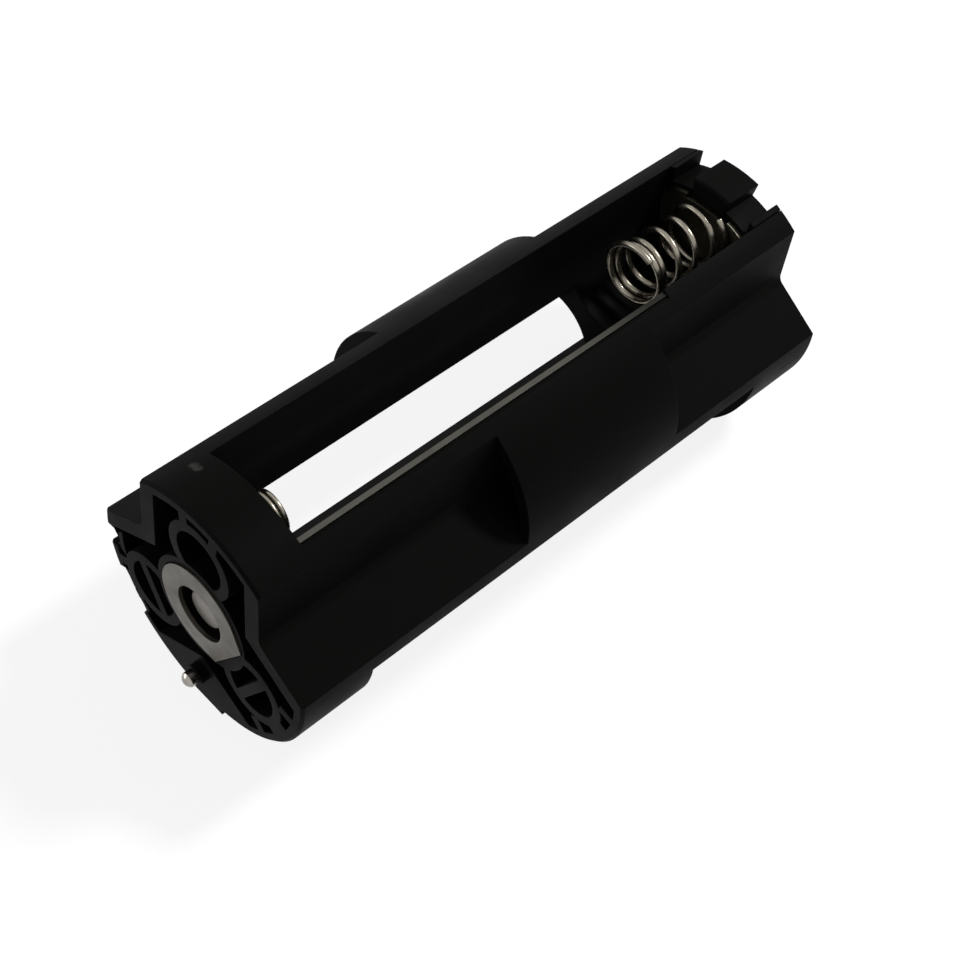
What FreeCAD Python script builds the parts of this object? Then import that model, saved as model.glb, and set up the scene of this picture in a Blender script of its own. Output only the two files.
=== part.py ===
"""Three-cell magazine: a round moulded frame that holds three AAA cells side by side.

The left cell lies the other way round from the other two, and one strip on edge beside the
top bay brings the current from the rear end back to the contact face.

Sizes are in millimetres. The magazine lies along Y with its contact face towards -Y
and one bay open upwards (+Z). The origin is on the ground, under the middle of its box.
While the pieces are being made, the axis of the round body is the Y axis and the contact
face is at y = 0; every piece is moved onto the ground when it is written.
"""
import FreeCAD, Part
import math
import os

os.makedirs("parts", exist_ok=True)
Vector = FreeCAD.Vector
ORIGIN = Vector(0, 0, 0)

# Cells that the magazine is made for
cell_diameter = 10.5
cell_length = 44.5
bay_side_clearance = 0.1
spring_squeeze = 1.6

# Round body
outer_radius = 13.0
body_length = 65.4
cell_axis_drop = 5.4
front_wall = 5.4
front_cradle_length = 4.2
rear_cradle_length = 12.8
core_drop = 1.5
front_edge_chamfer = 0.25
cut_margin = 1.0

# End walls of the two lower bays, which start further in than the top bay's
lower_front_step = 2.3
lower_rear_step = 4.4
mouth_chamfer = 0.6

# Grooves between the bays, and the bands that bridge them
groove_half_angle = 25.2
groove_depth = 4.3
groove_root_fillet = 1.1
band_start = 25.6
band_length = 19.4
band_proud = 0.15
band_wall = 1.2
band_root_angle = 3.0

# Flat key under the body, on which the magazine lies
key_proud = 0.25
key_half_width = 2.6

# Coring of the contact face
rim_wall = 1.0
flank_wall = 1.7
pocket_depth = 3.9
cell_bore_radius = 2.8
cell_ring_wall = 1.0
rib_wall = 1.0
slot_half_angle = 7.0
square_pocket_angle = 9.0
deep_bore_depth = 4.3

# Notches in the rim beside the left bay
notch_depth = 2.0
narrow_notch_height = 1.7
narrow_notch_start = 182.8
narrow_notch_angle = 11.2
wide_notch_height = 1.2
wide_notch_start = 206.0
wide_notch_angle = 23.0

# Rear cap
cap_length = 4.0
cap_fit = 0.1
cap_top_drop = 1.6
cap_side_flange = 0.55
tongue_lead = 0.4
tongue_height = 2.0
tongue_half_angle = 9.8
tongue_edge_chamfer = 0.4
cap_bore_radius = 3.0
cap_bore_depth = 2.6

# Contacts on the front face
contact_sheet = 0.4
ring_outer_radius = 4.95
ring_bore_radius = 2.8
ring_tab_reach = 4.4
ring_tab_half_width = 3.1
ring_tab_angle = -33.0
ring_proud = 0.15
ring_fit = 0.08
boss_wall = 0.75
button_radius = 1.9
button_recess = 0.5
button_dome = 0.08
button_edge = 0.12
button_well_depth = 2.4
button_stem_radius = 0.9

# Locating pin and the boss it stands in
pin_radius = 0.75
pin_reach = 2.1
pin_depth = 3.4
pin_dome = 0.45
pin_shank_radius = 0.55
pin_head_clearance = 0.1
pin_axis_drop = 4.1
pin_boss_radius = 1.0
pin_boss_height = 0.9

# Strip that carries the current from the rear to the front
strip_thickness = 0.5
strip_width = 1.8
strip_drop = 0.1
strip_slot_clearance = 0.04
strip_front_tuck = 1.1
strip_rear_tuck = 2.0
strip_cover = 0.8
lip_step_width = 0.45
lip_step_depth = 0.25

# Contact plates at both ends of the bays
plate_thickness = 0.4
plate_edge_clearance = 0.15
front_plate_radius = 4.0
front_ear_drop = 1.0
rear_plate_drop = 2.6
rear_ear_drop = 2.05
ear_half_width = 0.9
ear_offset = 3.5

# Springs for the flat ends of the cells
flat_wire_radius = 0.33
flat_spring_radius = 2.75
flat_spring_base_radius = 3.6
flat_spring_tip_radius = 3.35
flare_turns = 2.0
base_closed_pitch = 0.85
tip_closed_pitch = 0.7
flat_spring_start = 120.0
top_flat_turns = 6.0
top_tip_closed_turns = 2.0
lower_flat_turns = 2.5
lower_tip_closed_turns = 0.5

# Springs for the button ends of the cells
button_wire_radius = 0.25
button_spring_base_radius = 2.7
button_spring_tip_radius = 1.9
button_spring_turns = 2.5
button_spring_start = 0.0
top_button_spring_length = 2.2
lower_button_spring_length = 1.7
sections_per_turn = 12
wire_sides = 8

# Sizes worked out from the ones above
bay_half_width = cell_diameter / 2 + bay_side_clearance
cell_axis_radius = outer_radius - cell_axis_drop
core_radius = cell_axis_radius - core_drop
groove_root_radius = outer_radius - groove_depth
pin_axis_radius = outer_radius - pin_axis_drop
cap_seat = body_length - cap_length
cap_top_radius = outer_radius - cap_top_drop
tongue_inner_radius = outer_radius - tongue_height
band_radius = outer_radius + band_proud
band_end = band_start + band_length
key_radius = outer_radius + key_proud
front_cradle_end = front_wall + front_cradle_length
rear_cradle_start = cap_seat - rear_cradle_length
lower_front_wall = front_wall + lower_front_step
lower_rear_wall = cap_seat - lower_rear_step
contact_spacing = cell_length - spring_squeeze
boss_radius = ring_outer_radius + boss_wall
reach_out = outer_radius + 6.0
strip_corner = bay_half_width + strip_thickness
strip_top = math.sqrt(outer_radius ** 2 - strip_corner ** 2) - strip_drop
strip_bottom = strip_top - strip_width
strip_cover_top = strip_top - strip_cover

rail_angles = {"right": 30.0, "left": 150.0, "bottom": 270.0}
bay_angles = {"top": 90.0, "left": 210.0, "right": 330.0}
open_groove_rails = ("right", "left")
bay_limits = {
    "top": (front_wall, cap_seat),
    "left": (lower_front_wall, lower_rear_wall),
    "right": (lower_front_wall, lower_rear_wall),
}
button_spring_lengths = {
    "top": top_button_spring_length,
    "left": lower_button_spring_length,
    "right": lower_button_spring_length,
}
reversed_bay = "left"


def on_circle(radius, degrees, y=0.0):
    """Point at a radius and an angle around the body's axis, from +X towards +Z."""
    angle = math.radians(degrees)
    return Vector(radius * math.cos(angle), y, radius * math.sin(angle))


def turned(shape, degrees):
    """Copy of a shape turned around the body's axis."""
    copy = shape.copy()
    copy.rotate(ORIGIN, Vector(0, -1, 0), degrees)
    return copy


def rod(radius, start, end, centre=ORIGIN):
    """Round bar along Y from one y to another."""
    return Part.makeCylinder(radius, end - start, centre + Vector(0, start, 0), Vector(0, 1, 0))


def block(x_range, y_range, z_range):
    """Rectangular block between two limits each way."""
    size = [high - low for low, high in (x_range, y_range, z_range)]
    return Part.makeBox(size[0], size[1], size[2], Vector(x_range[0], y_range[0], z_range[0]))


def prism(edges, start, end):
    """Solid of a closed outline drawn at y = 0, from one y to another."""
    face = Part.Face(Part.Wire(edges))
    face.translate(Vector(0, start, 0))
    return face.extrude(Vector(0, end - start, 0))


def polygon_edges(points):
    """Edges of a closed outline of straight lines."""
    closed = points + points[:1]
    return [Part.makeLine(a, b) for a, b in zip(closed[:-1], closed[1:])]


def joined(shapes):
    """One shape fused from several, with the seams between them removed."""
    return shapes[0].multiFuse(shapes[1:]).removeSplitter()


def sector(inner, outer, half_angle, start, end, centre_angle=90.0):
    """Part of a ring around the body's axis, from one y to another."""
    low = centre_angle - half_angle
    high = centre_angle + half_angle
    edges = [
        Part.Arc(on_circle(outer, low), on_circle(outer, centre_angle), on_circle(outer, high)).toShape(),
        Part.makeLine(on_circle(outer, high), on_circle(inner, high)),
        Part.Arc(on_circle(inner, high), on_circle(inner, centre_angle), on_circle(inner, low)).toShape(),
        Part.makeLine(on_circle(inner, low), on_circle(outer, low)),
    ]
    return prism(edges, start, end)


def bay_hollow(half_width, start, end, top=reach_out):
    """Hollow of the top bay: straight sides above a round cradle for the cell."""
    level = cell_axis_radius
    left = Vector(-half_width, 0, level)
    right = Vector(half_width, 0, level)
    cradle = Part.Arc(left, Vector(0, 0, level - half_width), right).toShape()
    sides = [
        Part.makeLine(right, Vector(half_width, 0, top)),
        Part.makeLine(Vector(half_width, 0, top), Vector(-half_width, 0, top)),
        Part.makeLine(Vector(-half_width, 0, top), left),
    ]
    return prism([cradle] + sides, start, end)


def groove_hollow(rail_angle, start, end, wall=0.0):
    """V groove down the outside of a rail; with a wall, the space the groove and its sides need."""
    corner = on_circle(outer_radius, groove_half_angle)
    slope = corner.z / (corner.x - groove_root_radius)
    root = groove_root_radius - wall * math.hypot(1.0, slope) / slope
    mouth = slope * (reach_out - root)
    points = [Vector(root, 0, 0), Vector(reach_out, 0, mouth), Vector(reach_out, 0, -mouth)]
    solid = prism(polygon_edges(points), start, end)
    if wall == 0.0:
        along = [e for e in solid.Edges if max(abs(v.X - root) + abs(v.Z) for v in e.Vertexes) < 0.001]
        solid = solid.makeFillet(groove_root_fillet, along)
    return turned(solid, rail_angle)


def in_bay(shape, bay_name):
    """A shape made in the top bay, turned into another bay."""
    return turned(shape, bay_angles[bay_name] - 90.0)


def front_block():
    """Thick disc behind the contact face, cored from the front between its ribs."""
    disc = rod(outer_radius, 0.0, front_wall)
    front_edge = [e for e in disc.Edges if e.BoundBox.YMax < 0.001 and e.BoundBox.XLength > outer_radius]
    disc = disc.makeChamfer(front_edge_chamfer, front_edge)
    narrow = rim_notch(narrow_notch_height, narrow_notch_start, narrow_notch_angle)
    wide = rim_notch(wide_notch_height, wide_notch_start, wide_notch_angle)
    return disc.cut([face_pockets(), narrow, wide])


def rim_notch(height, start_angle, angle):
    """Notch across the rim of the contact face."""
    floor = outer_radius - height
    return sector(floor, reach_out, angle / 2, -cut_margin, notch_depth, start_angle + angle / 2)


def bay_bore_bar(bay_name):
    """Bar that crosses a cell bore, square to the line from the axis."""
    along = (-cut_margin, deep_bore_depth + cut_margin)
    height = (cell_axis_radius - rib_wall / 2, cell_axis_radius + rib_wall / 2)
    return in_bay(block((-outer_radius, outer_radius), along, height), bay_name)


def radial_rib(bay_angle, offset_angle):
    """Rib from a cell ring out to the rim, at an angle from the bay's middle."""
    inner = cell_axis_radius + cell_bore_radius
    rib = block((-rib_wall / 2, rib_wall / 2), (-cut_margin, pocket_depth + cut_margin), (inner, reach_out))
    return turned(rib, bay_angle + offset_angle - 90.0)


def face_pockets():
    """Space cored out of the contact face, as one cutting shape."""
    front = -cut_margin
    back = pocket_depth + cut_margin
    kept = [groove_hollow(angle, front, back, flank_wall) for angle in rail_angles.values()]
    kept.append(rod(boss_radius, front, back))
    bores = []
    for name, angle in bay_angles.items():
        centre = on_circle(cell_axis_radius, angle)
        kept.append(rod(cell_bore_radius + cell_ring_wall, front, back, centre))
        depth = deep_bore_depth if name == "top" else pocket_depth
        bore = rod(cell_bore_radius, front, depth, centre).cut(rod(boss_radius, front, back))
        if name != "top":
            bore = bore.cut(bay_bore_bar(name))
        bores.append(bore)
        rib_angle = slot_half_angle + math.degrees(rib_wall / outer_radius) / 2
        offsets = [-rib_angle, rib_angle]
        if name == "right":
            kept.append(sector(cell_axis_radius, reach_out, slot_half_angle, front, back, angle))
            offsets = [-rib_angle - square_pocket_angle, rib_angle + square_pocket_angle]
        kept.extend(radial_rib(angle, offset) for offset in offsets)
    pockets = rod(outer_radius - rim_wall, front, pocket_depth).cut(joined(kept))
    return Part.makeCompound([pockets] + bores)


def strip_slot():
    """Rebate for the strip along the wall of the top bay, with the step beside it."""
    low = strip_bottom - strip_slot_clearance
    high = strip_top + strip_slot_clearance
    covered = strip_cover_top + strip_slot_clearance
    across = (bay_half_width - strip_thickness, strip_corner + strip_slot_clearance)
    open_part = (front_wall, rear_cradle_start)
    rebate = block(across, open_part, (low, reach_out))
    front_pocket = block(across, (front_wall - strip_front_tuck, front_wall), (low, high))
    rear_pocket = block(across, (rear_cradle_start, cap_seat + strip_rear_tuck), (low, covered))
    step_across = (strip_corner, strip_corner + lip_step_width)
    step = block(step_across, open_part, (strip_top + strip_drop - lip_step_depth, reach_out))
    return joined([rebate, front_pocket, rear_pocket, step])


def mouth_chamfers(bay_name):
    """Lead-in along both edges of a bay's mouth."""
    corner_height = math.sqrt(outer_radius ** 2 - bay_half_width ** 2)
    low = corner_height - mouth_chamfer
    high = corner_height + mouth_chamfer
    start, end = bay_limits[bay_name]
    cutters = []
    for side in (-1, 1):
        points = [
            Vector(side * (bay_half_width - mouth_chamfer), 0, low),
            Vector(side * bay_half_width, 0, low),
            Vector(side * (bay_half_width + 2 * mouth_chamfer), 0, high),
            Vector(side * (bay_half_width - mouth_chamfer), 0, high),
        ]
        cutters.append(prism(polygon_edges(points), start, end))
    return in_bay(Part.makeCompound(cutters), bay_name)


def band(rail_angle):
    """Skin that bridges a rail's groove in the middle of its length, flush at the groove's edges."""
    edge = groove_half_angle
    root = groove_half_angle + band_root_angle
    inner = band_radius - band_wall
    middle = (inner + outer_radius) / 2
    lip = on_circle(outer_radius, edge)
    edges = [
        Part.Arc(on_circle(outer_radius, -edge), on_circle(band_radius, 0.0), lip).toShape(),
        Part.makeLine(lip, on_circle(middle, root)),
        Part.makeLine(on_circle(middle, root), on_circle(inner, root)),
        Part.Arc(on_circle(inner, root), on_circle(inner, 0.0), on_circle(inner, -root)).toShape(),
        Part.makeLine(on_circle(inner, -root), on_circle(middle, -root)),
        Part.makeLine(on_circle(middle, -root), on_circle(outer_radius, -edge)),
    ]
    return turned(prism(edges, band_start, band_end), rail_angle)


def key(start, end):
    """Flat key along the bottom of the body."""
    return block((-key_half_width, key_half_width), (start, end), (-key_radius, -outer_radius + band_wall))


def frame_hollows():
    """Hollows of the three bays, of the seat for the rear cap and of the core between the cells."""
    open_end = body_length + cut_margin
    hollows = []
    for name, (start, end) in bay_limits.items():
        hollows.append(in_bay(bay_hollow(bay_half_width, start, end), name))
        hollows.append(in_bay(bay_hollow(bay_half_width, cap_seat, open_end), name))
    hollows.append(rod(core_radius, front_cradle_end, rear_cradle_start))
    hollows.append(rod(core_radius, cap_seat, open_end))
    return joined(hollows)


def make_frame():
    """Frame: the cored front block, three rails, their bands and the end walls, in one moulding."""
    open_end = body_length + cut_margin
    whole = rod(outer_radius, (deep_bore_depth + front_wall) / 2, body_length).cut(frame_hollows())
    frame = joined([front_block(), whole])
    for name, angle in rail_angles.items():
        start = -cut_margin if name in open_groove_rails else front_wall
        frame = frame.cut(groove_hollow(angle, start, open_end))
    bands = [band(angle) for angle in rail_angles.values()]
    pin_centre = on_circle(pin_axis_radius, rail_angles["bottom"])
    pin_boss = rod(pin_boss_radius, -pin_boss_height, front_wall / 2, pin_centre)
    frame = joined([frame, pin_boss, key(0.0, front_wall), key(band_start, band_end)] + bands)
    frame = frame.cut([mouth_chamfers("left"), mouth_chamfers("right"), strip_slot()])
    frame = frame.cut(ring_outline(ring_fit, -pin_boss_height, contact_sheet - ring_proud))
    frame = frame.cut(rod(ring_bore_radius, -cut_margin, button_well_depth))
    frame = frame.cut(rod(button_stem_radius, 0.0, front_wall - cut_margin))
    return frame.cut(rod(pin_shank_radius, -pin_reach, pin_depth, pin_centre))


def ring_outline(growth, start, end):
    """Plate outline of the ring contact: a disc that runs out into a square tab."""
    radius = ring_outer_radius + growth
    reach = ring_tab_reach + growth
    half = ring_tab_half_width + growth
    distance = math.hypot(reach, half)
    swing = math.degrees(math.acos(radius / distance)) if distance > radius else 0.0
    corner_angle = math.degrees(math.atan2(half, reach))
    touch = on_circle(radius, corner_angle + swing)
    corner = Vector(reach, 0, half)
    mirrored = [Vector(point.x, 0, -point.z) for point in (touch, corner)]
    edges = [
        Part.Arc(touch, Vector(-radius, 0, 0), mirrored[0]).toShape(),
        Part.makeLine(mirrored[0], mirrored[1]),
        Part.makeLine(mirrored[1], corner),
        Part.makeLine(corner, touch),
    ]
    return turned(prism(edges, start, end), ring_tab_angle)


def make_ring_contact():
    """Flat ring contact with its square tab, standing just proud of the face."""
    plate = ring_outline(0.0, -ring_proud, contact_sheet - ring_proud)
    return plate.cut(rod(ring_bore_radius, -cut_margin, cut_margin))


def make_centre_contact():
    """Button contact in the middle of the ring, with its stem in the front block."""
    top = button_recess
    stem_end = front_wall - cut_margin
    outline = [
        Vector(0, top - button_dome, 0),
        Vector(button_radius - button_edge, top, 0),
        Vector(button_radius, top + button_edge, 0),
        Vector(button_radius, button_well_depth, 0),
        Vector(button_stem_radius, button_well_depth, 0),
        Vector(button_stem_radius, stem_end, 0),
        Vector(0, stem_end, 0),
    ]
    return Part.Face(Part.Wire(polygon_edges(outline))).revolve(ORIGIN, Vector(0, 1, 0), 360.0)


def make_locating_pin():
    """Round pin with a domed head on a thinner shank, pressed into its boss under the ring."""
    dome_radius = (pin_radius ** 2 + pin_dome ** 2) / (2 * pin_dome)
    half = math.asin(pin_radius / dome_radius) / 2
    crown = Vector(0, -pin_reach, 0)
    shoulder = Vector(pin_radius, pin_dome - pin_reach, 0)
    middle = Vector(dome_radius * math.sin(half), dome_radius * (1 - math.cos(half)) - pin_reach, 0)
    head_end = -pin_boss_height - pin_head_clearance
    collar = Vector(pin_radius, head_end, 0)
    neck = Vector(pin_shank_radius, head_end, 0)
    corner = Vector(pin_shank_radius, pin_depth, 0)
    foot = Vector(0, pin_depth, 0)
    edges = [
        Part.Arc(crown, middle, shoulder).toShape(),
        Part.makeLine(shoulder, collar),
        Part.makeLine(collar, neck),
        Part.makeLine(neck, corner),
        Part.makeLine(corner, foot),
        Part.makeLine(foot, crown),
    ]
    pin = Part.Face(Part.Wire(edges)).revolve(ORIGIN, Vector(0, 1, 0), 360.0)
    pin.translate(on_circle(pin_axis_radius, rail_angles["bottom"]))
    return pin


def make_strip():
    """Flat metal strip on edge in its rebate, lower where the lip covers its rear end."""
    side = (bay_half_width, strip_corner)
    tall = block(side, (front_wall - strip_front_tuck, rear_cradle_start), (strip_bottom, strip_top))
    low_part = (rear_cradle_start, cap_seat + strip_rear_tuck)
    return joined([tall, block(side, low_part, (strip_bottom, strip_cover_top))])


def cap_lobe(bay_name):
    """Part of the rear cap that plugs one bay; at the top two notches leave a tongue between them."""
    lobe = bay_hollow(bay_half_width - cap_fit, cap_seat, body_length)
    lobe = lobe.common(rod(outer_radius, 0.0, body_length))
    if bay_name == "top":
        front = cap_seat - tongue_lead
        tongue = sector(tongue_inner_radius, outer_radius, tongue_half_angle, front, body_length)
        crest = outer_radius * math.cos(math.radians(tongue_half_angle)) - tongue_edge_chamfer / 2
        edges = [e for e in tongue.Edges if e.BoundBox.YMax < cap_seat and e.BoundBox.ZMin > crest]
        notch_half_width = bay_half_width - cap_fit - cap_side_flange
        across = (-notch_half_width, notch_half_width)
        notches = block(across, (cap_seat - cut_margin, body_length + cut_margin), (0.0, reach_out))
        lobe = lobe.cut(notches.cut(rod(cap_top_radius, 0.0, body_length + reach_out)))
        lobe = lobe.fuse(tongue.makeChamfer(tongue_edge_chamfer / 2, edges))
    bore_centre = on_circle(cell_axis_radius, 90.0)
    bore = rod(cap_bore_radius, body_length - cap_bore_depth, body_length + cut_margin, bore_centre)
    return in_bay(lobe.cut(bore), bay_name)


def make_rear_cap():
    """Rear cap: three lobes that plug the bays, joined by a disc in the middle."""
    lobes = [cap_lobe(name) for name in bay_angles]
    return joined(lobes + [rod(core_radius - cap_fit, cap_seat, body_length)])


def make_rear_plate(bay_name):
    """Plate against a bay's rear wall, with two ears towards the bay's mouth."""
    end = bay_limits[bay_name][1]
    start = end - plate_thickness
    sheet = bay_hollow(bay_half_width - plate_edge_clearance, start, end)
    sheet = sheet.common(rod(outer_radius - rear_plate_drop, 0.0, body_length))
    ears = []
    for middle in (-ear_offset, ear_offset):
        across = (middle - ear_half_width, middle + ear_half_width)
        ears.append(block(across, (start, end), (cell_axis_radius, outer_radius)))
    plate = joined([sheet] + ears).common(rod(outer_radius - rear_ear_drop, 0.0, body_length))
    return in_bay(plate, bay_name)


def make_front_plate(bay_name):
    """Round plate on a bay's front wall, with one ear towards the bay's mouth."""
    start = bay_limits[bay_name][0]
    end = start + plate_thickness
    disc = rod(front_plate_radius, start, end, on_circle(cell_axis_radius, 90.0))
    across = (-ear_offset - ear_half_width, ear_half_width - ear_offset)
    ear = block(across, (start, end), (cell_axis_radius, outer_radius))
    plate = joined([disc, ear]).common(rod(outer_radius - front_ear_drop, 0.0, body_length))
    return in_bay(plate, bay_name)


def coil(radius_at, height_at, turns, wire, start_angle):
    """Round wire wound around the Y axis from y = 0; both functions take turns counted from there."""
    count = int(turns * sections_per_turn)
    step = 0.1 / sections_per_turn

    def at(turn):
        angle = 2 * math.pi * turn + math.radians(start_angle)
        radius = radius_at(turn)
        return Vector(radius * math.cos(angle), height_at(turn), radius * math.sin(angle))

    sections = []
    for index in range(count + 1):
        turn = turns * index / count
        tangent = at(min(turn + step, turns)) - at(max(turn - step, 0.0))
        side = tangent.cross(Vector(0, 1, 0)).normalize()
        up = side.cross(tangent).normalize()
        ring = []
        for corner in range(wire_sides):
            angle = 2 * math.pi * (corner + 0.5) / wire_sides
            ring.append(at(turn) + side * (wire * math.cos(angle)) + up * (wire * math.sin(angle)))
        sections.append(Part.makePolygon(ring + ring[:1]))
    return Part.makeLoft(sections, True, True)


def flat_spring(length, turns, tip_closed_turns):
    """Spring for a cell's flat end: open turns between two flared ends."""
    wire = flat_wire_radius
    open_turns = turns - 1.0 - tip_closed_turns
    open_rise = length - 2 * wire - base_closed_pitch - tip_closed_pitch * tip_closed_turns
    flare = min(flare_turns, turns / 2)

    def radius_at(turn):
        base_share = max(0.0, 1.0 - turn / flare) ** 2
        tip_share = max(0.0, 1.0 - (turns - turn) / flare) ** 2
        radius = flat_spring_radius + (flat_spring_base_radius - flat_spring_radius) * base_share
        return radius + (flat_spring_tip_radius - flat_spring_radius) * tip_share

    def height_at(turn):
        base_turn = min(turn, 1.0)
        open_turn = min(max(turn - 1.0, 0.0), open_turns)
        tip_turn = turn - base_turn - open_turn
        height = wire + base_turn * base_closed_pitch + open_turn * open_rise / open_turns
        return height + tip_turn * tip_closed_pitch

    return coil(radius_at, height_at, turns, wire, flat_spring_start)


def button_spring(length):
    """Short tapered spring for a cell's button end."""
    wire = button_wire_radius

    def radius_at(turn):
        taper = button_spring_tip_radius - button_spring_base_radius
        return button_spring_base_radius + taper * turn / button_spring_turns

    def height_at(turn):
        return wire + (length - 2 * wire) * turn / button_spring_turns

    return coil(radius_at, height_at, button_spring_turns, wire, button_spring_start)


def make_spring(bay_name, at_front):
    """The spring at one end of a bay, standing on its plate, on the cell's axis."""
    start, end = bay_limits[bay_name]
    button_length = button_spring_lengths[bay_name]
    takes_button = at_front != (bay_name == reversed_bay)
    if takes_button:
        spring = button_spring(button_length)
    else:
        length = end - start - 2 * plate_thickness - button_length - contact_spacing
        top = bay_name == "top"
        turns = top_flat_turns if top else lower_flat_turns
        spring = flat_spring(length, turns, top_tip_closed_turns if top else lower_tip_closed_turns)
    if at_front:
        foot = start + plate_thickness
    else:
        spring.rotate(ORIGIN, Vector(0, 0, 1), 180.0)
        foot = end - plate_thickness
    spring.translate(Vector(0, foot, cell_axis_radius))
    return in_bay(spring, bay_name)


def write(name, shape):
    """Sets a piece on the ground, centred along the body's length, and writes its file."""
    length_middle = (body_length - pin_reach) / 2
    piece = shape.copy()
    piece.translate(Vector(0, -length_middle, key_radius))
    piece.exportStep("parts/" + name + ".step")
    box = piece.BoundBox
    sizes = "%.2f %.2f %.2f" % (box.XLength, box.YLength, box.ZLength)
    print(name, "solids", len(piece.Solids), "valid", piece.isValid(), "size", sizes)


def main():
    """Makes every piece and writes it."""
    write("frame", make_frame())
    write("rear_cap", make_rear_cap())
    write("ring_contact", make_ring_contact())
    write("centre_contact", make_centre_contact())
    write("locating_pin", make_locating_pin())
    write("link_strip_right", make_strip())
    for name in bay_angles:
        write("rear_plate_" + name, make_rear_plate(name))
        write("front_plate_" + name, make_front_plate(name))
        write("rear_spring_" + name, make_spring(name, False))
        write("front_spring_" + name, make_spring(name, True))


main()
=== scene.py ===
import bmesh
import bpy
import math
from mathutils import Matrix, Vector


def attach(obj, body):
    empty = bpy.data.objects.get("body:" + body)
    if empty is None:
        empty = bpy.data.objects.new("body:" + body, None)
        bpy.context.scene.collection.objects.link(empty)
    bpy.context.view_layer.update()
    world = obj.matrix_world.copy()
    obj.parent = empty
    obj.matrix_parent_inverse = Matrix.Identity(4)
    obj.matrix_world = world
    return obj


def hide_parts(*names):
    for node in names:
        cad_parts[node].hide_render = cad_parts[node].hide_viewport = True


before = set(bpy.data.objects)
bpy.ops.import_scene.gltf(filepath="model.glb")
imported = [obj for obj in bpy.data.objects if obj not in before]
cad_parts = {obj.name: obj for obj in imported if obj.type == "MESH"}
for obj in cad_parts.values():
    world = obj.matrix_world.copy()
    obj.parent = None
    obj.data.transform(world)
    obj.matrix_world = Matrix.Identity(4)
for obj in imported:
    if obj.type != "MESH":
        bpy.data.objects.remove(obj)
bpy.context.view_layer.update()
print("frame loaded:", len(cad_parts), "nodes")

mm = 0.001
bodyPlace = {   # mm
    "lengthMiddle": 31.65,   # from the contact face to the middle of the whole length, with the pin
    "axisHeight": 13.25,     # from the ground to the axis of the round body
    "cellRadius": 7.6,       # from that axis to the axis of each cell
}
bayAngles = {"top": 90.0, "left": 210.0, "right": 330.0}   # degrees around the body's axis


def onBody(x, y, z):  # mm from the middle of the contact face to metres in the frame
    return Vector((
        x * mm,
        (y - bodyPlace["lengthMiddle"]) * mm,
        (z + bodyPlace["axisHeight"]) * mm,
    ))


def linearColour(hexColour):  # sRGB hex to the linear values that the shaders take
    shares = [int(hexColour[i:i + 2], 16) / 255 for i in (1, 3, 5)]
    return [s / 12.92 if s <= 0.04045 else ((s + 0.055) / 1.055) ** 2.4 for s in shares] + [1.0]


def addNode(owner, kind, settings=None, links=None):  # the owner is a material or the world
    node = owner.node_tree.nodes.new(kind)
    for name, value in (settings or {}).items():
        if isinstance(name, str) and hasattr(node, name):
            setattr(node, name, value)
        else:
            node.inputs[name].default_value = value
    for name, source in (links or {}).items():
        owner.node_tree.links.new(source, node.inputs[name])
    return node


def newMaterial(name):
    material = bpy.data.materials.new(name)
    material.use_nodes = True
    material.node_tree.nodes.clear()
    return material


def addObject(name, data):
    added = bpy.data.objects.new(name, data)
    bpy.context.scene.collection.objects.link(added)
    return added


def meshFrom(bm, name):
    mesh = bpy.data.meshes.new(name)
    bm.to_mesh(mesh)
    bm.free()
    return mesh


def addPiece(name, mesh, finish):  # the mesh comes in mm from the middle of the contact face
    mesh.transform(Matrix.Translation((0, -bodyPlace["lengthMiddle"], bodyPlace["axisHeight"])))
    mesh.transform(Matrix.Scale(mm, 4))
    mesh.materials.append(finish)
    return addObject(name, mesh)


mixColour = {"first": 6, "second": 7, "result": 2}   # a Mix node's sockets for colours
noiseSpread = {"From Min": 0.3, "From Max": 0.7}     # most of a noise texture's values

# Black ABS, injection moulded in a spark-eroded tool: deep matt black, a very fine
# grain, softer edges that catch the light, and a faint cloudy bloom where it cooled.
# One small rubbed spot shows on top of the front block.
blackAbs = {
    "colour": "#0b0c0a",
    "bloomColour": "#101210",
    "bloomSize": 7.0,                  # mm
    "bloomNoise": {"Detail": 3.0, "Roughness": 0.6},
    "grainSize": 0.28,                 # mm, a little coarser than the real grain so that it shows
    "grainNoise": {"Detail": 2.0, "Roughness": 0.55},
    "grainHeight": 0.006,              # mm
    "edge": 0.14,                      # mm, radius of the softened edges
    "edgeSamples": 6,
    "roughness": (0.4, 0.56),
    "specular": 0.015,
    "ior": 1.5,
    "scuffColour": "#3c3c39",
    "scuffPlace": (-4.8, 3.6, 12.1),   # mm
    "scuffSize": (1.1, 0.55, 1.1),     # mm each way from its middle
    "scuffGrain": 0.5,                 # mm
    "scuffNoise": {"Detail": 3.0},
    "scuffUneven": 1.2,                # how far its grain breaks up its edge
    "scuffFade": (1.45, 0.9),          # where it begins, and where it is full
}


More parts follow.
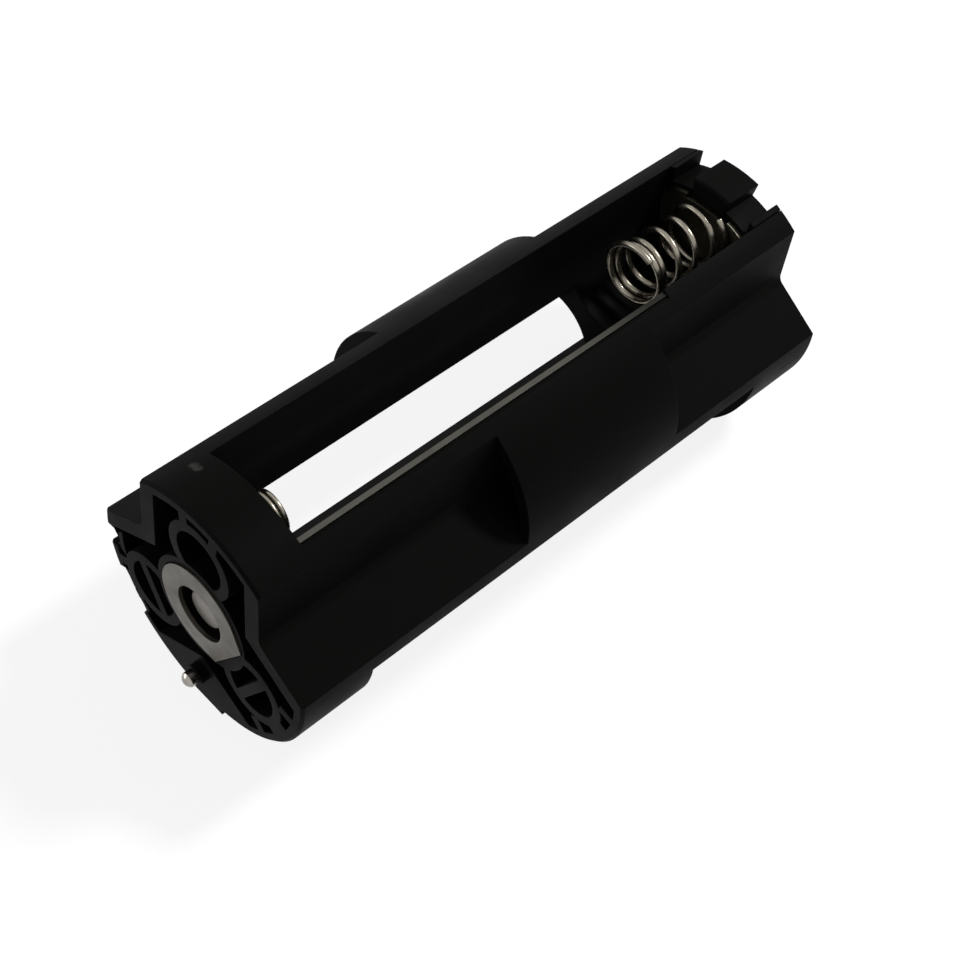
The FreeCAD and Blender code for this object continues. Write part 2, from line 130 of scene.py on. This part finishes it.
def makeBlackAbs(name, settings):
    material = newMaterial(name)
    place = addNode(material, "ShaderNodeTexCoord").outputs["Object"]
    bloom = addNode(
        material, "ShaderNodeTexNoise",
        {"Scale": 1 / (settings["bloomSize"] * mm), **settings["bloomNoise"]},
        {"Vector": place},
    )
    clouded = addNode(
        material, "ShaderNodeMix",
        {
            "data_type": "RGBA",
            mixColour["first"]: linearColour(settings["colour"]),
            mixColour["second"]: linearColour(settings["bloomColour"]),
        },
        {"Factor": bloom.outputs[0]},
    )

    offset = addNode(
        material, "ShaderNodeVectorMath",
        {"operation": "SUBTRACT", 1: onBody(*settings["scuffPlace"])},
        {0: place},
    )
    scaled = addNode(
        material, "ShaderNodeVectorMath",
        {"operation": "MULTIPLY", 1: [1 / (size * mm) for size in settings["scuffSize"]]},
        {0: offset.outputs[0]},
    )
    away = addNode(
        material, "ShaderNodeVectorMath", {"operation": "LENGTH"}, {0: scaled.outputs[0]},
    )
    rubbed = addNode(
        material, "ShaderNodeTexNoise",
        {"Scale": 1 / (settings["scuffGrain"] * mm), **settings["scuffNoise"]},
        {"Vector": place},
    )
    uneven = addNode(
        material, "ShaderNodeMath",
        {"operation": "MULTIPLY_ADD", 1: settings["scuffUneven"]},
        {0: rubbed.outputs[0], 2: away.outputs["Value"]},
    )
    begins, full = settings["scuffFade"]
    scuff = addNode(
        material, "ShaderNodeMapRange",
        {"From Min": begins, "From Max": full, "To Min": 0.0, "To Max": 1.0},
        {"Value": uneven.outputs[0]},
    )
    worn = addNode(
        material, "ShaderNodeMix",
        {"data_type": "RGBA", mixColour["second"]: linearColour(settings["scuffColour"])},
        {"Factor": scuff.outputs[0], mixColour["first"]: clouded.outputs[mixColour["result"]]},
    )

    grain = addNode(
        material, "ShaderNodeTexNoise",
        {"Scale": 1 / (settings["grainSize"] * mm), **settings["grainNoise"]},
        {"Vector": place},
    )
    edge = addNode(
        material, "ShaderNodeBevel",
        {"samples": settings["edgeSamples"], "Radius": settings["edge"] * mm},
    )
    bump = addNode(
        material, "ShaderNodeBump",
        {"Strength": 1.0, "Distance": settings["grainHeight"] * mm},
        {"Height": grain.outputs[0], "Normal": edge.outputs[0]},
    )
    low, high = settings["roughness"]
    sheen = addNode(
        material, "ShaderNodeMapRange",
        {**noiseSpread, "To Min": low, "To Max": high},
        {"Value": bloom.outputs[0]},
    )
    shader = addNode(
        material, "ShaderNodeBsdfPrincipled",
        {"Specular IOR Level": settings["specular"], "IOR": settings["ior"]},
        {
            "Base Color": worn.outputs[mixColour["result"]],
            "Roughness": sheen.outputs[0],
            "Normal": bump.outputs[0],
        },
    )
    addNode(material, "ShaderNodeOutputMaterial", links={"Surface": shader.outputs[0]})
    return material


# Nickel-plated steel, stamped or drawn: warm grey metal with fine lengthwise drawing
# marks and small dull patches where it has been handled.
nickelPlating = {   # what all the finishes share
    "patchNoise": {"Detail": 4.0, "Roughness": 0.6},
    "markNoise": {"Detail": 3.0, "Roughness": 0.5},
    "markStretch": (1.0, 0.12, 1.0),   # marks run along Y, as the metal was drawn
    "edge": 0.05,                      # mm, radius of the softened edges
    "edgeSamples": 4,
}
nickelFinishes = {   # sizes and heights in mm
    "nickelPlatedStampedSteel": {
        "colour": "#615d57", "dullColour": "#4b4741", "roughness": (0.32, 0.5),
        "markSize": 0.35, "markHeight": 0.004, "patchSize": 2.2,
    },
    "nickelPlatedButton": {
        "colour": "#7d7973", "dullColour": "#635f59", "roughness": (0.28, 0.42),
        "markSize": 0.3, "markHeight": 0.003, "patchSize": 1.2,
    },
    "nickelPlatedSpringWire": {
        "colour": "#aaa498", "dullColour": "#5f594d", "roughness": (0.18, 0.36),
        "markSize": 0.2, "markHeight": 0.003, "patchSize": 1.4,
    },
    "nickelPlatedStrip": {
        "colour": "#6d6a5e", "dullColour": "#4b4940", "roughness": (0.34, 0.5),
        "markSize": 0.3, "markHeight": 0.003, "patchSize": 3.0,
    },
    # painted shade: this strip's colour darkens towards its rear end, where shade falls on it
    "tarnishedStripPaintedShade": {
        "colour": "#55544e", "dullColour": "#3c3b36", "roughness": (0.42, 0.56),
        "markSize": 0.3, "markHeight": 0.003, "patchSize": 3.0,
        "paintedShadeSpan": (36.0, 46.0),       # mm from the contact face, where the painted shade begins and where it is darkest
        "paintedShadeTone": 0.28,           # share of the colour that is left behind that, in the painted shade
    },
    "brightNickelPin": {
        "colour": "#aeaaa3", "dullColour": "#827e77", "roughness": (0.1, 0.22),
        "markSize": 0.15, "markHeight": 0.002, "patchSize": 0.8,
    },
}


def makeNickel(name, settings, plating):
    material = newMaterial(name)
    place = addNode(material, "ShaderNodeTexCoord").outputs["Object"]
    patch = addNode(
        material, "ShaderNodeTexNoise",
        {"Scale": 1 / (settings["patchSize"] * mm), **plating["patchNoise"]},
        {"Vector": place},
    )
    drawn = addNode(
        material, "ShaderNodeMapping", {"Scale": plating["markStretch"]}, {"Vector": place},
    )
    marks = addNode(
        material, "ShaderNodeTexNoise",
        {"Scale": 1 / (settings["markSize"] * mm), **plating["markNoise"]},
        {"Vector": drawn.outputs[0]},
    )
    patchy = addNode(
        material, "ShaderNodeMix",
        {
            "data_type": "RGBA",
            mixColour["first"]: linearColour(settings["colour"]),
            mixColour["second"]: linearColour(settings["dullColour"]),
        },
        {"Factor": patch.outputs[0]},
    )
    tone = patchy.outputs[mixColour["result"]]
    # painted shade: darkens the colour along Y towards the rear end
    if "paintedShadeSpan" in settings:
        start, end = [onBody(0, y, 0).y for y in settings["paintedShadeSpan"]]
        split = addNode(material, "ShaderNodeSeparateXYZ", links={0: place})
        share = addNode(
            material, "ShaderNodeMapRange",
            {"From Min": start, "From Max": end, "To Min": 1.0, "To Max": settings["paintedShadeTone"]},
            {"Value": split.outputs["Y"]},
        )
        darkened = addNode(
            material, "ShaderNodeVectorMath",
            {"operation": "SCALE"},
            {0: tone, "Scale": share.outputs[0]},
        )
        tone = darkened.outputs[0]

    low, high = settings["roughness"]
    rough = addNode(
        material, "ShaderNodeMapRange",
        {**noiseSpread, "To Min": low, "To Max": high},
        {"Value": patch.outputs[0]},
    )
    edge = addNode(
        material, "ShaderNodeBevel",
        {"samples": plating["edgeSamples"], "Radius": plating["edge"] * mm},
    )
    bump = addNode(
        material, "ShaderNodeBump",
        {"Strength": 1.0, "Distance": settings["markHeight"] * mm},
        {"Height": marks.outputs[0], "Normal": edge.outputs[0]},
    )
    shader = addNode(
        material, "ShaderNodeBsdfPrincipled",
        {"Metallic": 1.0},
        {"Base Color": tone, "Roughness": rough.outputs[0], "Normal": bump.outputs[0]},
    )
    addNode(material, "ShaderNodeOutputMaterial", links={"Surface": shader.outputs[0]})
    return material


mouldedAbs = makeBlackAbs("blackAbsMoulded", blackAbs)
nickel = {
    name: makeNickel(name, settings, nickelPlating)
    for name, settings in nickelFinishes.items()
}

nodeFinishes = {   # by the start of the node's name
    "frame": mouldedAbs,
    "rear_cap": mouldedAbs,
    "ring_contact": nickel["nickelPlatedStampedSteel"],
    "centre_contact": nickel["nickelPlatedButton"],
    "locating_pin": nickel["brightNickelPin"],
    "link_strip": nickel["tarnishedStripPaintedShade"],
    "rear_plate": nickel["nickelPlatedStrip"],
    "front_plate": nickel["nickelPlatedStrip"],
    "rear_spring": nickel["nickelPlatedSpringWire"],
    "front_spring": nickel["nickelPlatedSpringWire"],
}
for nodeName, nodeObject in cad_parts.items():
    finish = next(f for start, f in nodeFinishes.items() if nodeName.startswith(start))
    nodeObject.data.materials.clear()
    nodeObject.data.materials.append(finish)
print("materials set on the nodes")

# Springs: the same coils as the nodes, with a rounder wire and an easier change of pitch
flatEndCoil = {   # mm, turns and degrees; the wire's size is its radius
    "wire": 0.33,
    "baseRadius": 3.6, "middleRadius": 2.75, "tipRadius": 3.35, "flareTurns": 2.0,
    "baseTurns": 1.0, "basePitch": 0.85, "tipPitch": 0.7,
    "startAngle": 120.0,
}
buttonEndCoil = {"wire": 0.25, "baseRadius": 2.7, "tipRadius": 1.9, "startAngle": 0.0}
springs = {   # mm; foot is the plate's face, and way is 1 for a spring that points to the rear
    "rear_spring_top": {
        "bay": "top", "foot": 61.0, "way": -1, "coil": flatEndCoil,
        "length": 10.1, "turns": 6.0, "tipTurns": 2.0,
    },
    "rear_spring_right": {
        "bay": "right", "foot": 56.6, "way": -1, "coil": flatEndCoil,
        "length": 3.9, "turns": 2.5, "tipTurns": 0.5,
    },
    "front_spring_left": {
        "bay": "left", "foot": 8.1, "way": 1, "coil": flatEndCoil,
        "length": 3.9, "turns": 2.5, "tipTurns": 0.5,
    },
    "front_spring_top": {
        "bay": "top", "foot": 5.8, "way": 1, "coil": buttonEndCoil,
        "length": 2.2, "turns": 2.5,
    },
    "front_spring_right": {
        "bay": "right", "foot": 8.1, "way": 1, "coil": buttonEndCoil,
        "length": 1.7, "turns": 2.5,
    },
    "rear_spring_left": {
        "bay": "left", "foot": 56.6, "way": -1, "coil": buttonEndCoil,
        "length": 1.7, "turns": 2.5,
    },
}
winding = {
    "stepsPerTurn": 40,
    "wireSides": 14,
    "pitchEase": (-0.24, -0.12, 0.0, 0.12, 0.24),   # turns over which the pitch changes
    "endRounding": 0.3,                             # share of the wire's radius
    "endSteps": 2,
}


def coilRadius(spring, turn):  # mm
    coil, turns = spring["coil"], spring["turns"]
    if coil is buttonEndCoil:
        return coil["baseRadius"] + (coil["tipRadius"] - coil["baseRadius"]) * turn / turns
    flare = min(coil["flareTurns"], turns / 2)
    atBase = max(0.0, 1.0 - turn / flare) ** 2
    atTip = max(0.0, 1.0 - (turns - turn) / flare) ** 2
    middle = coil["middleRadius"]
    return middle + (coil["baseRadius"] - middle) * atBase + (coil["tipRadius"] - middle) * atTip


def coilHeight(spring, turn):  # mm above the foot
    coil, turns = spring["coil"], spring["turns"]
    room = spring["length"] - 2 * coil["wire"]
    if coil is buttonEndCoil:
        return coil["wire"] + room * turn / turns
    baseTurns, tipTurns = coil["baseTurns"], spring["tipTurns"]
    openTurns = turns - baseTurns - tipTurns
    openPitch = (room - coil["basePitch"] * baseTurns - coil["tipPitch"] * tipTurns) / openTurns
    heights = []
    for ease in winding["pitchEase"]:
        place = turn + ease
        closed = min(place, baseTurns)
        opened = min(max(place - baseTurns, 0.0), openTurns)
        atTip = place - closed - opened
        heights.append(closed * coil["basePitch"] + opened * openPitch + atTip * coil["tipPitch"])
    return coil["wire"] + sum(heights) / len(heights)


def makeCoil(name, spring):
    wire = spring["coil"]["wire"]
    count = int(spring["turns"] * winding["stepsPerTurn"])
    oneStep = Matrix.Rotation(-2 * math.pi * spring["turns"] / count, 4, "Y")
    radius, height = coilRadius(spring, 0.0), coilHeight(spring, 0.0)
    bm = bmesh.new()
    bmesh.ops.create_circle(bm, segments=winding["wireSides"], radius=wire, cap_ends=True)
    section, loop = list(bm.verts), list(bm.edges)
    bmesh.ops.translate(bm, verts=section, vec=(radius, height, 0))
    for step in range(1, count + 1):
        turn = spring["turns"] * step / count
        grown = bmesh.ops.extrude_edge_only(bm, edges=loop)["geom"]
        section = [g for g in grown if isinstance(g, bmesh.types.BMVert)]
        edges = [g for g in grown if isinstance(g, bmesh.types.BMEdge)]
        loop = [e for e in edges if all(v in section for v in e.verts)]
        bmesh.ops.rotate(bm, verts=section, cent=(0, 0, 0), matrix=oneStep)
        newRadius, newHeight = coilRadius(spring, turn), coilHeight(spring, turn)
        outwards = Vector((math.cos(2 * math.pi * turn), 0, math.sin(2 * math.pi * turn)))
        move = outwards * (newRadius - radius) + Vector((0, newHeight - height, 0))
        bmesh.ops.translate(bm, verts=section, vec=move)
        radius, height = newRadius, newHeight
    bmesh.ops.holes_fill(bm, edges=loop, sides=0)
    bmesh.ops.recalc_face_normals(bm, faces=bm.faces)
    ends = [f for f in bm.faces if len(f.verts) > 4]   # where the wire is cut off
    bmesh.ops.bevel(
        bm, geom=list({e for f in ends for e in f.edges}), affect="EDGES",
        offset=wire * winding["endRounding"], segments=winding["endSteps"],
        profile=0.5, material=-1,
    )
    for face in bm.faces:
        face.smooth = True
    return meshFrom(bm, name)


for springName, spring in springs.items():
    mesh = makeCoil(springName + "_fine", spring)
    mesh.transform(Matrix.Rotation(-math.radians(spring["coil"]["startAngle"]), 4, "Y"))
    if spring["way"] < 0:
        mesh.transform(Matrix.Rotation(math.pi, 4, "Z"))
    mesh.transform(Matrix.Translation((0, spring["foot"], bodyPlace["cellRadius"])))
    fromTop = bayAngles[spring["bay"]] - bayAngles["top"]
    mesh.transform(Matrix.Rotation(-math.radians(fromTop), 4, "Y"))
    piece = addPiece(springName + "_fine", mesh, nickel["nickelPlatedSpringWire"])
    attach(piece, "root")
    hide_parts(springName)
print("springs wound:", len(springs))

# Thin wall that follows each rim notch behind the contact face and closes the pocket there
notches = {   # degrees around the body's axis, and the floor's distance from it in mm
    "narrowNotchWall": {"start": 182.8, "angle": 11.2, "floor": 11.3},
    "wideNotchWall": {"start": 206.0, "angle": 23.0, "floor": 11.8},
}
notchWall = {   # mm
    "thickness": 0.55,
    "rimInside": 12.0,      # from the body's axis
    "front": 0.03,          # from the contact face, as are the next two
    "shelf": 2.0,
    "back": 3.9,
    "shelfOverlap": 0.1,    # how far the shelf reaches into the floor
    "stepsPerDegree": 1,
}


def onArc(radius, degrees, y):  # mm
    angle = math.radians(degrees)
    return Vector((radius * math.cos(angle), y, radius * math.sin(angle)))


def addSlab(bm, outline, start, end):  # the outline is pairs of radius and degrees
    corners = [
        bmesh.ops.create_vert(bm, co=onArc(radius, degrees, start))["vert"][0]
        for radius, degrees in outline
    ]
    face = bmesh.ops.contextual_create(bm, geom=corners)["faces"]
    grown = bmesh.ops.extrude_face_region(bm, geom=face)["geom"]
    farVerts = [g for g in grown if isinstance(g, bmesh.types.BMVert)]
    bmesh.ops.translate(bm, verts=farVerts, vec=(0, end - start, 0))


def makeNotchWall(name, notch, wall):
    low, high = notch["start"], notch["start"] + notch["angle"]
    floor, rim = notch["floor"], wall["rimInside"]
    side = math.degrees(wall["thickness"] / floor)
    steps = int(notch["angle"] * wall["stepsPerDegree"])
    across = [low + (high - low) * i / steps for i in range(steps + 1)]
    back = across[::-1]
    around = [low - side] + across + [high + side]
    outline = [(floor - wall["thickness"], degrees) for degrees in around]
    outline += [(rim, high + side), (rim, high)]
    outline += [(floor, degrees) for degrees in back]
    outline += [(rim, low), (rim, low - side)]
    shelf = [(floor - wall["shelfOverlap"], degrees) for degrees in across]
    shelf += [(rim, degrees) for degrees in back]
    bm = bmesh.new()
    addSlab(bm, outline, wall["front"], wall["back"])
    addSlab(bm, shelf, wall["shelf"], wall["shelf"] + wall["thickness"])
    bmesh.ops.recalc_face_normals(bm, faces=bm.faces)
    return meshFrom(bm, name)


for wallName, notch in notches.items():
    piece = addPiece(wallName, makeNotchWall(wallName, notch, notchWall), mouldedAbs)
    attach(piece, "root")
print("notch walls made:", len(notches))

# Floor, light and camera
white = (1.0, 1.0, 1.0, 1.0)
stage = {
    "floorSize": 1.2,          # m each way from the middle
    "floorColour": "#a8a8a8",  # what lights the object from below
    "floorOwnLight": 0.86,     # share of white that the camera sees in any light
    "floorShaded": 0.24,       # grey that the lamps add to it, less where a shadow falls
    "worldStrength": 0.18,
    "lamps": [                 # places and sizes in m, power in W
        {"name": "keyLamp", "from": (0.14, 0.48, 0.66), "size": 0.15, "power": 4.1},
        {"name": "fillLamp", "from": (-0.45, -0.48, 0.1), "size": 0.5, "power": 1.5},
    ],
}


def seenRay(owner):  # 1 for what the camera sees straight, in a reflection or through glass
    path = addNode(owner, "ShaderNodeLightPath")
    seen = path.outputs["Is Camera Ray"]
    for name in ("Is Glossy Ray", "Is Transmission Ray"):
        either = addNode(
            owner, "ShaderNodeMath", {"operation": "MAXIMUM"}, {0: seen, 1: path.outputs[name]},
        )
        seen = either.outputs[0]
    return seen


def makeFloor(settings):
    bm = bmesh.new()
    bmesh.ops.create_grid(bm, x_segments=2, y_segments=2, size=settings["floorSize"])
    floor = addObject("floor", meshFrom(bm, "floor"))
    material = newMaterial("matPaperFloor")
    paper = addNode(
        material, "ShaderNodeBsdfDiffuse", {"Color": linearColour(settings["floorColour"])},
    )
    own = addNode(
        material, "ShaderNodeEmission", {"Color": white, "Strength": settings["floorOwnLight"]},
    )
    shaded = addNode(
        material, "ShaderNodeBsdfDiffuse", {"Color": (settings["floorShaded"],) * 3 + (1,)},
    )
    seen = addNode(
        material, "ShaderNodeAddShader", links={0: own.outputs[0], 1: shaded.outputs[0]},
    )
    mixed = addNode(
        material, "ShaderNodeMixShader",
        links={0: seenRay(material), 1: paper.outputs[0], 2: seen.outputs[0]},
    )
    addNode(material, "ShaderNodeOutputMaterial", links={"Surface": mixed.outputs[0]})
    floor.data.materials.append(material)


def makeWorld(settings):
    world = bpy.data.worlds.new("softRoom")
    bpy.context.scene.world = world
    world.use_nodes = True
    world.node_tree.nodes.clear()
    lit = addNode(
        world, "ShaderNodeBackground", {"Color": white, "Strength": settings["worldStrength"]},
    )
    seen = addNode(world, "ShaderNodeBackground", {"Color": white, "Strength": 1.0})
    mixed = addNode(
        world, "ShaderNodeMixShader",
        links={0: seenRay(world), 1: lit.outputs[0], 2: seen.outputs[0]},
    )
    addNode(world, "ShaderNodeOutputWorld", links={"Surface": mixed.outputs[0]})


def makeLamps(settings):
    for lamp in settings["lamps"]:
        data = bpy.data.lights.new(lamp["name"], "AREA")
        data.shape = "DISK"
        data.size = lamp["size"]
        data.energy = lamp["power"]
        lampObject = addObject(lamp["name"], data)
        towards = -Vector(lamp["from"])
        lampObject.location = lamp["from"]
        lampObject.rotation_euler = towards.to_track_quat("-Z", "Y").to_euler()


camera = {
    "place": (64.0, -47.1, 121.1),   # mm from the middle of the contact face
    "right": (0.6896, 0.7164, 0.1058),
    "up": (-0.6138, 0.5005, 0.6105),
    "filmWidth": 36.0,               # mm
    "focalPixels": 1716.6,           # focal length in pixels of the photograph
    "photoPixels": 960,
    "clip": (0.005, 10.0),           # m
}


def makeCamera(settings):
    data = bpy.data.cameras.new("photoCamera")
    data.sensor_width = settings["filmWidth"]
    data.lens = settings["filmWidth"] * settings["focalPixels"] / settings["photoPixels"]
    data.clip_start, data.clip_end = settings["clip"]
    right = Vector(settings["right"]).normalized()
    up = Vector(settings["up"])
    up = (up - right * up.dot(right)).normalized()
    back = right.cross(up)
    turned = Matrix((right, up, back)).transposed().to_4x4()
    cameraObject = addObject("photoCamera", data)
    cameraObject.matrix_world = Matrix.Translation(onBody(*settings["place"])) @ turned
    bpy.context.scene.camera = cameraObject


makeFloor(stage)
makeWorld(stage)
makeLamps(stage)
makeCamera(camera)
bpy.context.scene.view_settings.view_transform = "Standard"
print("floor, light and camera set")
